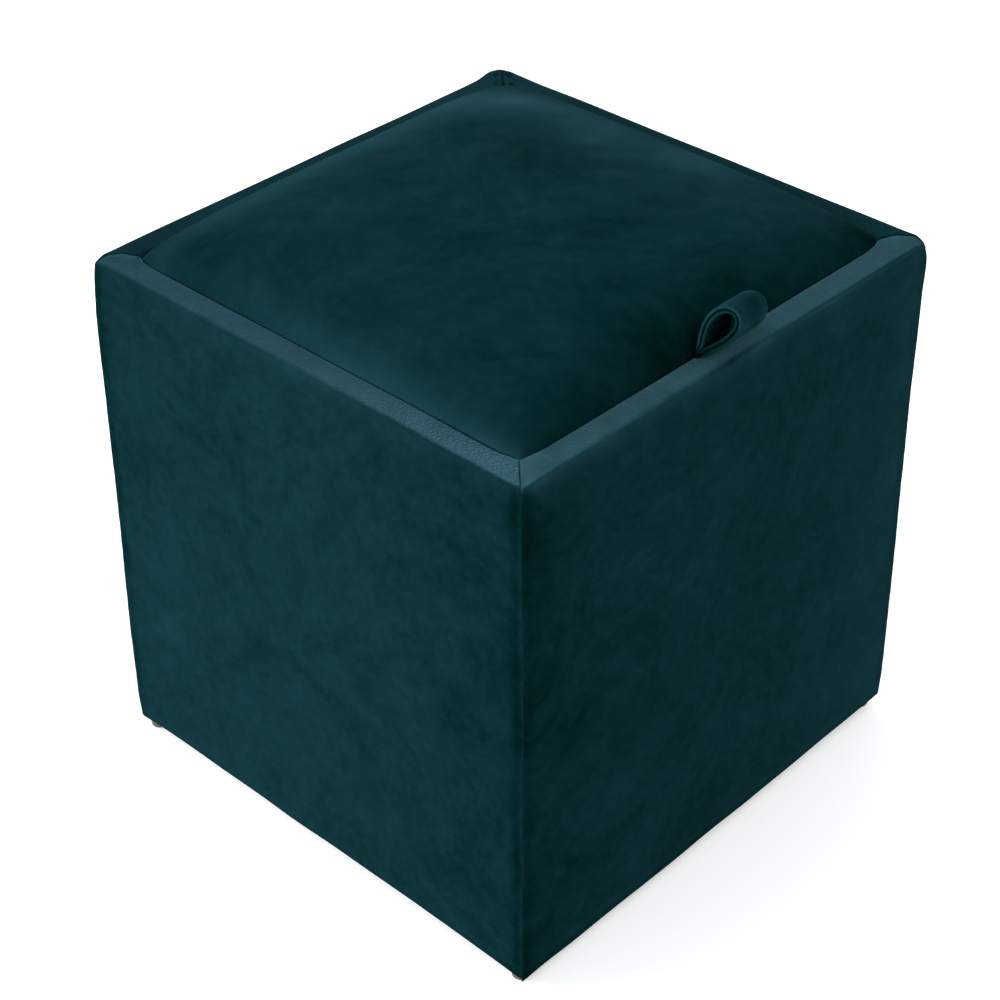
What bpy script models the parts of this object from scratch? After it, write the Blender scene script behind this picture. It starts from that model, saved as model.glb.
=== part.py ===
"""Upholstered storage cube stool with a lift-off lid. Metres, +Z up, standing on z = 0.

Four padded side walls are mitred at the corners and stand up past a recessed, crowned lid.
A folded strap at the front lifts the lid off the battens that carry it. -Y is the front.
"""

import math

import bmesh
import bpy
from mathutils import Matrix, Vector

# Whole object. The front wall's face is -Y, and the pull loop leans out past it, so the cube
# sits BOX_Y further back for the footprint to be centred on the origin.
BOX_Y = 0.0057
GAP = 0.0003  # parting between pieces that touch

# Walls
RIM_X = 0.4277  # outer width across the rim
RIM_Y = 0.4198  # outer depth across the rim
RIM_Z = 0.436  # height of the rim above the floor
HEM_FLARE = 0.0021  # how far each wall's hem stands out past its rim
WALL_THICKNESS = 0.023
WALL_CROWN = 0.0022  # how far the padding swells in the middle of a wall
CROWN_POWER = 4
CORNER_RADIUS = 0.0065  # upright corners, in plan
RIM_OUTER_RADIUS = 0.0035
RIM_INNER_RADIUS = 0.004
HEM_RADIUS = 0.003
ROUNDING_STEPS = 3
WALL_CELLS = 10  # grid cells along and up each wall, so that the crown is smooth

# Bottom panel
BASE_THICKNESS = 0.012
BASE_RECESS = 0.002  # how far the panel's underside lies above the hem

# Lid
LID_DEPTH = 0.050  # from the rim down to the lid's underside
LID_CLEARANCE = 0.0032  # between the lid and the walls, all round
LID_CROWN = 0.0335  # rise of the filling from the lid's edge to its middle
LID_EDGE_DROP = 0.001  # how far below the rim the rounded edge starts
LID_CROWN_POWER = 4.3  # how flat the middle is
LID_EDGE_POWER = 0.42  # how steeply the edge rolls over
LID_DRAW_IN = 0.0025  # how far the sides pull in at the underside
LID_CORNER_PULL = 0.028  # share of the half width by which each corner is rounded off
LID_CORNER_POWER = 9
LID_CELLS = 18

# Battens that the lid rests on
LEDGE_WIDTH = 0.018
LEDGE_HEIGHT = 0.020

# Pull loop: a strap folded into a teardrop that leans out over the front rim
LOOP_WIDTH = 0.0275
LOOP_X = -0.0095  # middle of the strap along the front wall
LOOP_LENGTH = 0.0600  # from where it leaves the gap to its tip
LOOP_HALF_BREADTH = 0.0120
LOOP_THICKNESS = 0.0052  # both layers of the strap
LOOP_LEAN = math.radians(36.5)  # out from upright
LOOP_STEM = 0.0024  # thickness of the sewn tails, pressed between lid and wall
LOOP_TAIL = 0.030  # how far the tails run down beside the lid
LOOP_WALL_GAP = 0.0005  # between the tails and the wall
LOOP_HOLE_START = 0.0125  # from where it leaves the gap to the pointed end of the finger gap
LOOP_HOLE_LENGTH = 0.0423
LOOP_POINTS = 28

# Nail-on glides
GLIDE_RADIUS = 0.0070
GLIDE_HEIGHT = 0.0120
GLIDE_EDGE = 0.0025
GLIDE_INSET = 0.0105  # from the hem, both ways
GLIDE_SIDES = 24

HEM_Z = GLIDE_HEIGHT + GAP
INNER_X = RIM_X / 2 - WALL_THICKNESS
INNER_Y = RIM_Y / 2 - WALL_THICKNESS
LEDGE_TOP_Z = RIM_Z - LID_DEPTH - GAP

VELVET = ("teal_velvet", (0.010, 0.048, 0.058), 0.85)
BOARD = ("plain_board", (0.36, 0.25, 0.15), 0.75)
NYLON = ("brown_nylon", (0.085, 0.062, 0.050), 0.45)


def clear_scene():
    for obj in list(bpy.data.objects):
        bpy.data.objects.remove(obj, do_unlink=True)


def material(look):
    name, colour, roughness = look
    found = bpy.data.materials.get(name)
    if found:
        return found
    made = bpy.data.materials.new(name)
    made.use_nodes = True
    shader = made.node_tree.nodes["Principled BSDF"]
    shader.inputs["Base Color"].default_value = (*colour, 1)
    shader.inputs["Roughness"].default_value = roughness
    shader.inputs["Metallic"].default_value = 0
    made.diffuse_color = (*colour, 1)
    return made


def empty(name, location, parent=None):
    obj = bpy.data.objects.new(name, None)
    obj.empty_display_size = 0.05
    obj.location = location
    obj.parent = parent
    PARTS.objects.link(obj)
    return obj


def add_object(name, data, look, parent, location=(0, 0, 0)):
    obj = bpy.data.objects.new(name, data)
    obj.location = location
    obj.parent = parent
    data.materials.append(material(look))
    PARTS.objects.link(obj)
    return obj


def mesh_from(bm, name, smooth=True):
    bmesh.ops.recalc_face_normals(bm, faces=bm.faces)
    if bm.calc_volume(signed=True) < 0:
        bmesh.ops.reverse_faces(bm, faces=bm.faces)
    data = bpy.data.meshes.new(name)
    bm.to_mesh(data)
    bm.free()
    if smooth:
        data.shade_smooth()
        data.set_sharp_from_angle(angle=math.radians(40))
    return data


def block(name, size, centre, look, parent):
    """A plain board or batten of this size."""
    bm = bmesh.new()
    bmesh.ops.create_cube(bm, size=1, matrix=Matrix.Diagonal((*size, 1)))
    return add_object(name, mesh_from(bm, name, smooth=False), look, parent, centre)


def edges_where(bm, test):
    """The edges both of whose ends pass the test."""
    return [edge for edge in bm.edges if all(test(vert.co) for vert in edge.verts)]


def round_edges(bm, edges, radius):
    bmesh.ops.bevel(
        bm,
        geom=edges,
        offset=radius,
        segments=ROUNDING_STEPS,
        profile=0.5,
        affect="EDGES",
        clamp_overlap=False,
    )


def near(value, target):
    return abs(value - target) < 1e-6


def wall_ring():
    """All four walls as one square ring with rounded rim, hem and corners, before padding."""
    half = Vector((RIM_X / 2, RIM_Y / 2))
    bm = bmesh.new()
    size = Matrix.Diagonal((RIM_X, RIM_Y, RIM_Z - HEM_Z, 1))
    middle = Matrix.Translation((0, 0, (RIM_Z + HEM_Z) / 2))
    bmesh.ops.create_cube(bm, size=1, matrix=middle @ size)
    ends = [face for face in bm.faces if abs(face.normal.z) > 0.5]
    for end in ends:
        bmesh.ops.inset_region(bm, faces=[end], thickness=WALL_THICKNESS, use_even_offset=True)
    inner_edges = [edge for end in ends for edge in end.edges]
    bmesh.ops.delete(bm, geom=ends, context="FACES_ONLY")
    bmesh.ops.bridge_loops(bm, edges=inner_edges)

    def on_corner(co):
        return near(abs(co.x), half.x) and near(abs(co.y), half.y)

    round_edges(bm, [e for e in edges_where(bm, on_corner) if is_upright(e)], CORNER_RADIUS)
    rounded = [
        (RIM_OUTER_RADIUS, lambda co: near(co.z, RIM_Z) and beyond_inner(co) > WALL_THICKNESS / 2),
        (RIM_INNER_RADIUS, lambda co: near(co.z, RIM_Z) and near(beyond_inner(co), 0)),
        (HEM_RADIUS, lambda co: near(co.z, HEM_Z) and beyond_inner(co) > WALL_THICKNESS / 2),
    ]
    for radius, test in rounded:
        round_edges(bm, [e for e in edges_where(bm, test) if is_sharp(e)], radius)
    return bm


def is_upright(edge):
    return near(edge.verts[0].co.x, edge.verts[1].co.x) and near(edge.verts[0].co.y, edge.verts[1].co.y)


def is_sharp(edge):
    """Whether the two faces that meet at an edge turn by more than 30 degrees."""
    return edge.calc_face_angle(0) > math.radians(30)


def beyond_inner(co):
    """How far a point of the ring lies outside the inner faces."""
    return max(abs(co.x) - INNER_X, abs(co.y) - INNER_Y)


def cut_grid(bm, axis, low, high, cells):
    """Parallel cuts across the mesh, so that it can be curved."""
    normal = Vector((0, 0, 0))
    normal[axis] = 1
    for step in range(1, cells):
        place = normal * (low + (high - low) * step / cells)
        geometry = bm.verts[:] + bm.edges[:] + bm.faces[:]
        bmesh.ops.bisect_plane(bm, geom=geometry, plane_co=place, plane_no=normal)


def pad_walls(bm):
    """Flares the walls towards the hem and swells each one between its edges."""
    half = (RIM_X / 2, RIM_Y / 2)
    inner = (INNER_X, INNER_Y)
    mid_z = (RIM_Z + HEM_Z) / 2
    half_z = (RIM_Z - HEM_Z) / 2
    for vert in bm.verts:
        old = vert.co.copy()
        height = (old.z - mid_z) / half_z
        flare = HEM_FLARE * (1 - height) / 2
        for axis, other in ((0, 1), (1, 0)):
            share = min(max((abs(old[axis]) - inner[axis]) / WALL_THICKNESS, 0), 1)
            along = min(abs(old[other]) / half[other], 1)
            swell = (1 - along**CROWN_POWER) * (1 - abs(height) ** CROWN_POWER)
            vert.co[axis] += math.copysign(share * (flare + WALL_CROWN * swell), old[axis])


def cut_wall(ring, outward):
    """One wall of the ring, parted from its neighbours along the mitres."""
    bm = ring.copy()
    along = Vector((-outward.y, outward.x, 0))
    half = Vector((RIM_X / 2, RIM_Y / 2, 0))
    for side in (along, -along):
        corner = Vector((half.x * (outward.x + side.x), half.y * (outward.y + side.y), 0))
        normal = (side - outward).normalized()
        geometry = bm.verts[:] + bm.edges[:] + bm.faces[:]
        cut = bmesh.ops.bisect_plane(
            bm,
            geom=geometry,
            plane_co=corner - normal * GAP / 2,
            plane_no=normal,
            clear_outer=True,
        )
        section = [item for item in cut["geom_cut"] if isinstance(item, bmesh.types.BMEdge)]
        bmesh.ops.edgeloop_fill(bm, edges=section)
    return bm


def build_walls(parent):
    ring = wall_ring()
    cut_grid(ring, 0, -RIM_X / 2, RIM_X / 2, WALL_CELLS)
    cut_grid(ring, 1, -RIM_Y / 2, RIM_Y / 2, WALL_CELLS)
    cut_grid(ring, 2, HEM_Z, RIM_Z, WALL_CELLS)
    pad_walls(ring)
    walls = {
        "wall_front": Vector((0, -1, 0)),
        "wall_right": Vector((1, 0, 0)),
        "wall_back": Vector((0, 1, 0)),
        "wall_left": Vector((-1, 0, 0)),
    }
    for name, outward in walls.items():
        add_object(name, mesh_from(cut_wall(ring, outward), name), VELVET, parent)
    ring.free()


def build_base(parent):
    size = (2 * (INNER_X - GAP), 2 * (INNER_Y - GAP), BASE_THICKNESS)
    centre = (0, 0, HEM_Z + BASE_RECESS + BASE_THICKNESS / 2)
    block("base_panel", size, centre, BOARD, parent)


def build_ledges(parent):
    """Battens round the inside: the front and back ones run full width, the others between them."""
    height = LEDGE_TOP_Z - LEDGE_HEIGHT / 2
    long_x = 2 * (INNER_X - GAP)
    short_y = 2 * (INNER_Y - LEDGE_WIDTH - 2 * GAP)
    place_x = INNER_X - GAP - LEDGE_WIDTH / 2
    place_y = INNER_Y - GAP - LEDGE_WIDTH / 2
    across = (long_x, LEDGE_WIDTH, LEDGE_HEIGHT)
    along = (LEDGE_WIDTH, short_y, LEDGE_HEIGHT)
    block("ledge_front", across, (0, -place_y, height), BOARD, parent)
    block("ledge_back", across, (0, place_y, height), BOARD, parent)
    block("ledge_right", along, (place_x, 0, height), BOARD, parent)
    block("ledge_left", along, (-place_x, 0, height), BOARD, parent)


def dome(share):
    """Height of the filling, 0 at the lid's edge and 1 over its middle."""
    return (1 - min(abs(share), 1) ** LID_CROWN_POWER) ** LID_EDGE_POWER


def build_lid(parent):
    """A filled, crowned lid whose sides draw in towards its flat underside.

    Its parent lies on the underside's middle, on the line along which the lid lifts.
    """
    half_x = INNER_X - LID_CLEARANCE
    half_y = INNER_Y - LID_CLEARANCE
    side_height = LID_DEPTH - LID_EDGE_DROP
    bm = bmesh.new()
    bmesh.ops.create_cube(bm, size=2)
    bmesh.ops.subdivide_edges(bm, edges=bm.edges[:], cuts=LID_CELLS - 1, use_grid_fill=True)
    for vert in bm.verts:
        # Cells get narrower towards the edges, where the surface turns over.
        u = math.sin(vert.co.x * math.pi / 2)
        v = math.sin(vert.co.y * math.pi / 2)
        level = (vert.co.z + 1) / 2
        draw_in = LID_DRAW_IN * (1 - level) ** 2
        pull_x = 1 - LID_CORNER_PULL * abs(v) ** LID_CORNER_POWER
        pull_y = 1 - LID_CORNER_PULL * abs(u) ** LID_CORNER_POWER
        top = side_height + LID_CROWN * dome(u) * dome(v)
        height = top if near(level, 1) else side_height * level
        vert.co = ((half_x - draw_in) * u * pull_x, (half_y - draw_in) * v * pull_y, height)
    return add_object("lid_cushion", mesh_from(bm, "lid_cushion"), VELVET, parent)


def teardrop(length, half_breadth, points):
    """A closed drop: pointed at its start, round at its far end, widest beyond its middle."""
    widest = 0.77  # largest value of sin(t) * sin(t / 2)
    outline = []
    for step in range(points):
        angle = 2 * math.pi * step / points
        along = length * (1 - math.cos(angle)) / 2
        across = half_breadth / widest * math.sin(angle) * math.sin(angle / 2)
        outline.append((along, across))
    return outline


def lean(points, start):
    """Turns (along, across) pairs into (out, up) pairs that lean out over the rim."""
    out, up = math.sin(LOOP_LEAN), math.cos(LOOP_LEAN)
    return [(start + along * out + across * up, along * up - across * out) for along, across in points]


def add_outline(curve, points):
    spline = curve.splines.new("POLY")
    spline.points.add(len(points) - 1)
    for point, (x, y) in zip(spline.points, points):
        point.co = (x, y, 0, 1)
    spline.use_cyclic_u = True


def build_pull_loop(parent):
    """The strap seen edge on is a teardrop on a short stem, which is its two tails sewn together.

    The curve's own X runs out from the lid and its Y runs up, from where the loop leaves the gap.
    """
    stem_middle = -LOOP_WALL_GAP - LOOP_STEM / 2
    inner, outer = stem_middle - LOOP_STEM / 2, stem_middle + LOOP_STEM / 2
    stem = [(inner, LOOP_STEM / 2), (inner, -LOOP_TAIL), (outer, -LOOP_TAIL), (outer, 0)]
    drop = teardrop(LOOP_LENGTH, LOOP_HALF_BREADTH, LOOP_POINTS)
    beyond_stem = [point for point in drop if point[0] > LOOP_STEM]
    hole = teardrop(LOOP_HOLE_LENGTH, LOOP_HALF_BREADTH - LOOP_THICKNESS, LOOP_POINTS)
    hole = [(along + LOOP_HOLE_START, across) for along, across in hole]

    curve = bpy.data.curves.new("pull_loop", "CURVE")
    curve.dimensions = "2D"
    curve.fill_mode = "BOTH"
    curve.extrude = LOOP_WIDTH / 2
    add_outline(curve, lean(beyond_stem, stem_middle) + stem)
    add_outline(curve, lean(hole, stem_middle))
    lid_place = Vector((LOOP_X, -INNER_Y, LID_DEPTH))
    loop = add_object("pull_loop", curve, VELVET, parent, lid_place)
    loop.rotation_euler = (math.pi / 2, 0, -math.pi / 2)
    return loop


def build_glides(parent):
    curve_steps = 4
    profile = [(0, GLIDE_HEIGHT), (GLIDE_RADIUS, GLIDE_HEIGHT)]
    for step in range(curve_steps + 1):
        angle = math.pi / 2 * step / curve_steps
        out = GLIDE_RADIUS - GLIDE_EDGE + GLIDE_EDGE * math.cos(angle)
        profile.append((out, GLIDE_EDGE - GLIDE_EDGE * math.sin(angle)))
    profile.append((0, 0))
    data = bpy.data.meshes.new("glide")
    pairs = [(step, step + 1) for step in range(len(profile) - 1)]
    data.from_pydata([(x, 0, z) for x, z in profile], pairs, [])
    place_x = RIM_X / 2 + HEM_FLARE - GLIDE_INSET
    place_y = RIM_Y / 2 + HEM_FLARE - GLIDE_INSET
    for end, side_y in (("front", -1), ("back", 1)):
        for hand, side_x in (("left", -1), ("right", 1)):
            name = f"glide_{end}_{hand}"
            glide = add_object(name, data.copy(), NYLON, parent, (side_x * place_x, side_y * place_y, 0))
            turn = glide.modifiers.new("turn", "SCREW")
            turn.steps = turn.render_steps = GLIDE_SIDES
            turn.use_merge_vertices = True
            turn.merge_threshold = 0.00001
    bpy.data.meshes.remove(data)


clear_scene()
PARTS = bpy.data.collections.new("storage_cube_stool")
bpy.context.scene.collection.children.link(PARTS)
cube_frame = empty("cube_frame", (0, BOX_Y, 0))
lid_frame = empty("lid_frame", (0, 0, RIM_Z - LID_DEPTH), cube_frame)
build_walls(cube_frame)
build_base(cube_frame)
build_ledges(cube_frame)
build_lid(lid_frame)
build_pull_loop(lid_frame)
build_glides(cube_frame)
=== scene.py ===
"""Looks of the upholstered storage cube stool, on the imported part's frame.

Metres, +Z up, -Y is the front. Velvet covers stand for the four padded walls, a crowned velvet
lid for the lid's solid, and a sewn strap of two layers for the pull loop. Battens, bottom panel
and glides keep their own meshes.
"""

import math
from dataclasses import dataclass
from types import SimpleNamespace

import bpy
import numpy as np
from mathutils import Matrix, Vector


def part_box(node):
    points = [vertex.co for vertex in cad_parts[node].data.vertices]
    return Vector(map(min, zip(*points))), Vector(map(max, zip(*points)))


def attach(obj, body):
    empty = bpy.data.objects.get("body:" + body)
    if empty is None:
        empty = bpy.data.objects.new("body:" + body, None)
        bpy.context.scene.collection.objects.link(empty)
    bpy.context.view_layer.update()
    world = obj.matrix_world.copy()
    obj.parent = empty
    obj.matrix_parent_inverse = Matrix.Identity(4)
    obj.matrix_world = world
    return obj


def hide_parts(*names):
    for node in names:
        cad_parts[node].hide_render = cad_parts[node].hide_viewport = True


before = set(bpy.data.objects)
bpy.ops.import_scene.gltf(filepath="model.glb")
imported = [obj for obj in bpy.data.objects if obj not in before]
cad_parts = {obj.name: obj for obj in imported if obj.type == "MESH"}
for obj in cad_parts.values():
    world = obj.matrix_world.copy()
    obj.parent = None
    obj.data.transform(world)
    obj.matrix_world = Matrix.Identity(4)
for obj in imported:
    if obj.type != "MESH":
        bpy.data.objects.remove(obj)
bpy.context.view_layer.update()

MM = 0.001
UP = np.array([0.0, 0.0, 1.0])

# ---- Sizes, from the frame ----
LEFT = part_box("wall_left")
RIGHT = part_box("wall_right")
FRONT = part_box("wall_front")
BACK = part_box("wall_back")
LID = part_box("lid_cushion")
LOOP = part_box("pull_loop")
RIM_Z = LEFT[1].z
HEM_Z = LEFT[0].z
BOX_Y = (FRONT[1].y + BACK[0].y) / 2
INNER = np.array([RIGHT[0].x, (BACK[0].y - FRONT[1].y) / 2])  # half the inside, each way
CENTRE = np.array([0.0, BOX_Y])

# ---- Shape of the wall covers ----
THICKNESS = 23 * MM
RIM = INNER + THICKNESS  # half the outside at the rim, each way
HEM_FLARE = 2.1 * MM
CROWN = 2.2 * MM  # swell of the padding in the middle of a wall
CROWN_POWER = 4
RIM_OUTER_RADIUS = 3 * MM
RIM_INNER_RADIUS = 2.8 * MM
RIM_SWELL = 0.3 * MM  # rise of the rim between its two rounded edges
HEM_RADIUS = 2.5 * MM
FOOT_RADIUS = 2 * MM  # inner edge of the hem
SEAM_RADIUS = 1.4 * MM  # rounding of an upright corner, in plan
ROUNDED_HEIGHT = 26 * MM  # height over which a corner's extra rounding fades
STAND_REACH = 40 * MM  # how far along a wall a corner's padding stands out
SEAM_PRESS = 0.06 * MM  # each cover presses past the seam, so that no light comes through
RIDGE = 0.25 * MM  # the seam stands up between two valleys
RIDGE_REACH = 0.8 * MM
VALLEY_DEPTH = 0.4 * MM  # the cloth dips beside each upright seam
VALLEY_PLACE = 5 * MM
VALLEY_REACH = 4 * MM
PUFF = 1.6 * MM  # the folded cloth lifts the rim at its mitres
PUFF_REACH = 13 * MM
CREASE_REACH = 0.7 * MM
UNDULATION = 0.3 * MM
GATHER = 0.2 * MM  # fine gathers beside a mitre
PUCKER = 0.08 * MM  # and beside an upright seam
DROOP_REACH = 17 * MM
HEM_WAVE = 0.5 * MM
HEM_BAND = 26 * MM  # height over which the hem's waves fade out
FACE_DEPTH = 7 * MM  # depth over which what belongs to the outer face fades out

# Steps of a cover's grid
ROW_STEP = 3.4 * MM
FINE_BAND = 20 * MM  # the rows lie closer together this far down the outside,
FINE_STEP = 1.6 * MM
RIM_STEP = 1.3 * MM
INSIDE_BAND = 60 * MM  # and this far down the inside
INSIDE_STEP = 5 * MM
HIDDEN_STEP = 20 * MM
FOOT_STEP = 4 * MM
COLUMN_STEP = 3.2 * MM
FIRST_COLUMNS = (0, 0.3, 0.6, 0.95, 1.4, 1.9, 2.5, 3.2, 4.0, 4.9, 6.0, 7.3, 9.0, 11.0, 13.5, 16.4)

# ---- How the pile leans on the wall covers ----
RIM_EVEN = 0.85  # how far the brushed pile hides the rim's own curve
CREASE_NAP = 0.55 * MM  # breadth of the upright pile in a mitre seam
CREASE_UPRIGHT = 2.7  # how upright it stands for each mm of the crease's depth
MOST_UPRIGHT = 0.8
MITRE_REACH = 18 * MM  # of the pile that the folded mitre pushes over
LOOP_PRESS = 0.34  # the pull loop presses the rim's pile upright
LOOP_PRESS_REACH = 38 * MM
INSIDE_NAP = 0.45
STREAK = 0.95  # the brushed streaks are a little longer than wide
TUFTS_EVEN = 0.45  # height of the pile's tufts, against those at the front left corner
TUFTS_REACH = 95 * MM

# ---- How light or dark it is painted, with wear and with painted light and shade ----
SEAM_WORN_AND_LIT = 0.6  # the ridge of an upright seam is worn light and has a painted highlight
SEAM_WORN_AND_LIT_REACH = 0.6 * MM
VALLEY_SHADE = 0.75  # and the dips beside it have painted shade
VALLEY_SHADE_REACH = 5 * MM
VALLEY_SHADE_DEEPEST = 11 * MM  # most of all this far below the rim
SHADE_REACH = 62 * MM  # of a corner's painted shade and painted light
HEM_SHEEN = 0.3  # a painted sheen line runs above the hem's edge, which has painted shade
HEM_SHEEN_PLACE = 6 * MM
HEM_SHEEN_REACH = 3 * MM
HEM_SHADE = 0.5
HEM_SHADE_REACH = 2.2 * MM
EDGE_PLACE = 1.0 * MM  # painted sheen lies this far past where the brushed pile begins
EDGE_BREADTH = 1.8 * MM
GLOW_REACH = 7 * MM  # how far below the rim the face carries painted sheen
GLOW_END = 2 * MM  # where that gives way to the rim's own pile
GLOW_DAMPED = 0.8  # how much of it is lost beside the seams
SHADOW = [np.array([-20, -186, 436]) * MM, np.array([48, -194, 436]) * MM]  # under the pull loop
SHADOW_DARK = 0.6
SHADOW_REACH = 6 * MM
INSIDE_LIFT = 1.5  # the inner faces' pile is lighter near the rim
# painted shade in the mitre seam's crease
MITRE_SHADE = 1.4
MITRE_SHADE_REACH = 0.9 * MM

WAVES = 14


def soft_noise(points, wavelength, seed, stretch=(1, 1, 1)):
    """Smooth noise, about -1 to 1 with one swell for each wavelength, the same at each run."""
    rng = np.random.default_rng(seed)
    ways = rng.normal(size=(WAVES, 3))
    ways *= rng.uniform(0.55, 1.3, (WAVES, 1)) / np.linalg.norm(ways, axis=1, keepdims=True)
    phases = rng.uniform(0, 2 * math.pi, WAVES)
    turns = (points * np.array(stretch)) @ ways.T * (2 * math.pi / wavelength) + phases
    return np.sin(turns).sum(axis=-1) / math.sqrt(WAVES)


def ramp(value, low, high):
    """0 at low, 1 at high and smooth in between; low may be the larger one."""
    share = np.clip((value - low) / (high - low), 0, 1)
    return share * share * (3 - 2 * share)


def bell(distance, reach):
    """1 at no distance, fading to nothing over about twice the reach."""
    return np.exp(-((distance / reach) ** 2))


def unit(vectors):
    return vectors / np.maximum(np.linalg.norm(vectors, axis=-1, keepdims=True), 1e-12)


def travelled(points, axis):
    """Distance over the surface from a grid's first row or column."""
    steps = np.linalg.norm(np.diff(points, axis=axis), axis=-1)
    start = np.zeros_like(steps.take([0], axis))
    return np.concatenate([start, np.cumsum(steps, axis=axis)], axis=axis)


def arc(middle, radius, start, end, steps):
    """Points of an arc from start to end degrees, both included."""
    angles = np.radians(np.linspace(start, end, steps + 1))
    return np.array(middle) + radius * np.stack([np.cos(angles), np.sin(angles)], axis=1)


def line(start, end, step):
    """Points from start to end without the two ends, about step apart."""
    start, end = np.array(start, float), np.array(end, float)
    count = max(2, round(float(np.linalg.norm(end - start)) / step))
    shares = np.linspace(0, 1, count + 1)[1:-1, None]
    return start + (end - start) * shares


def wall_section():
    """A wall cut across, up the outside and down the inside: (depth in from its face, height)."""
    outer_top, inner_top = RIM_Z - RIM_OUTER_RADIUS, RIM_Z - RIM_INNER_RADIUS
    rim_end, foot = THICKNESS - RIM_INNER_RADIUS, THICKNESS - FOOT_RADIUS
    fine_from = RIM_Z - FINE_BAND
    shown_to = inner_top - INSIDE_BAND
    parts = [
        arc((HEM_RADIUS, HEM_Z + HEM_RADIUS), HEM_RADIUS, 270, 180, 6),
        line((0, HEM_Z + HEM_RADIUS), (0, fine_from), ROW_STEP),
        line((0, fine_from - 1 * MM), (0, outer_top), FINE_STEP),
        arc((RIM_OUTER_RADIUS, outer_top), RIM_OUTER_RADIUS, 180, 90, 6),
        line((RIM_OUTER_RADIUS, RIM_Z), (rim_end, RIM_Z), RIM_STEP),
        arc((rim_end, inner_top), RIM_INNER_RADIUS, 90, 0, 7),
        line((THICKNESS, inner_top), (THICKNESS, shown_to), INSIDE_STEP),
        line((THICKNESS, shown_to - INSIDE_STEP), (THICKNESS, HEM_Z + FOOT_RADIUS), HIDDEN_STEP),
        arc((foot, HEM_Z + FOOT_RADIUS), FOOT_RADIUS, 0, -90, 3),
        line((foot, HEM_Z), (HEM_RADIUS, HEM_Z), FOOT_STEP),
    ]
    return np.concatenate(parts)


def past_edge(section):
    """How far along the section each row lies beyond the start of the rim's outer rounding."""
    along = travelled(section, 0)
    return along - along[np.argmax(section[:, 1] >= RIM_Z - RIM_OUTER_RADIUS - 1e-6)]


def wall_columns(length):
    """Places along a wall from 0 to 1, closer together towards both ends."""
    first = np.array(FIRST_COLUMNS) * MM
    middle = line((first[-1],), (length - first[-1],), COLUMN_STEP)[:, 0]
    return np.concatenate([first, middle, length - first[::-1]]) / length


@dataclass
class Corner:
    """How the cloth lies at one upright corner.

    A push moves the cloth near a point: (depth in, height, way and distance, reach), in mm with
    heights from the rim. The depth is one number on the mitre, and otherwise one for each of the
    two walls.
    """

    pushes: list
    rim_round: float = 0.0  # extra rounding in plan at the rim
    hem_round: float = 0.0  # and at the hem
    droop: float = 0.0  # how far the hem hangs down
    shade: float = 0.0  # painted shade beside the seam; below 0, painted light
    stand: float = 0.0  # how far the padding stands out
    inside: float = 9 * MM  # radius of the covers' inside corner
    crease: float = 0.5 * MM  # depth of the mitre seam on the rim
    pleats: float = 0.0  # painted shade in the gathers beside it


# The four corners, at signs (x, y).
CORNERS = {
    (-1, -1): Corner(
        rim_round=1.0 * MM,
        droop=1.2 * MM,
        shade=0.5,
        inside=5.5 * MM,
        crease=0.3 * MM,
        pushes=[(2, 0, (-1.0, 1.0, 0.0), 90)],
    ),
    (-1, 1): Corner(
        rim_round=2.5 * MM,
        hem_round=3 * MM,
        droop=1.6 * MM,
        stand=0.4 * MM,
        pushes=[
            (9, 0, (0.6, 4.6, 0.6), 6.5),
            (17, 0, (2.6, 2.4, 0.6), 7),
            (1, 0, (0.3, -0.3, -2.8), 8),
            (2, -12, (0.9, -0.9, 0.0), 22),
            (0, -340, (-0.7, 0.7, 0.0), 60),
        ],
    ),
    (1, -1): Corner(
        rim_round=3.3 * MM,
        hem_round=2 * MM,
        droop=-0.6 * MM,
        stand=0.7 * MM,
        shade=-0.8,
        pushes=[
            (9, 0, (4.6, 0.6, 1.4), 6.5),
            (17, 0, (1.6, 2.2, 1.2), 7),
            (0, 0, (-1.0, 1.0, -2.4), 8),
            (2, -12, (0.9, -0.9, 0.0), 22),
            (0, -370, (0.8, -0.8, 0.0), 90),
        ],
    ),
    (1, 1): Corner(
        rim_round=2.5 * MM,
        droop=1.0 * MM,
        crease=0.05 * MM,
        pleats=2.2,
        pushes=[
            (2, 0, (-1.2, 0.6, -0.4), 7),
            ((16, 1), 0, (0.0, 0.0, 2.2), 9),
            (4, 0, (0.0, 0.0, 1.4), 28),
        ],
    ),
}


@dataclass
class Wall:
    """One wall's cover.

    Sequences hold values at even places along the wall, anticlockwise seen from above.
    """

    node: str
    outward: tuple  # (x, y) that its outer face looks to
    streak_angle: float  # of its brushed streaks, in degrees
    seed: float
    nap_lean: tuple  # how far the rim's pile leans in
    tilt: tuple = (0, 0, 0)  # share that it leans more at the outer edge and less at the inner one
    mitre_lean: tuple = (0, 0)  # share that it leans more at the wall's start and end
    sag: tuple = (0, 0, 0)  # mm that the hem hangs lower
    bulge: float = 0.0  # how far the padding swells the hem
    rise: float = 0.0  # how far the rim stands higher
    brush: tuple = (3, 3, 3)  # mm round the outer edge to where the rim's brushed pile begins
    softness: tuple = (1, 1, 1)  # how gradually it begins
    edge: tuple = (0, 0, 0)  # how much painted sheen lies along that edge
    face_sheen: tuple = (0, 0, 0)  # how much painted sheen lies on the face below it
    tone: tuple = (0, 0, 0)  # how much lighter the whole face is painted; the front's darker tone is painted shade
    valley: float = 1.0  # how much painted shade lies in the dips beside its seams

    def spread(self, name, places):
        """A sequence's values at places from -1, the wall's start, to 1, its end."""
        values = getattr(self, name)
        return np.interp(places, np.linspace(-1, 1, len(values)), values)


def on_mitre(signs, inward, height):
    """A point near a corner, so far in from the outer planes."""
    return np.array([*(CENTRE + np.array(signs) * (RIM - inward)), height])


LOOP_REST = np.array([(LOOP[0].x + LOOP[1].x) / 2 + 18 * MM, FRONT[1].y - 12 * MM, RIM_Z])


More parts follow.
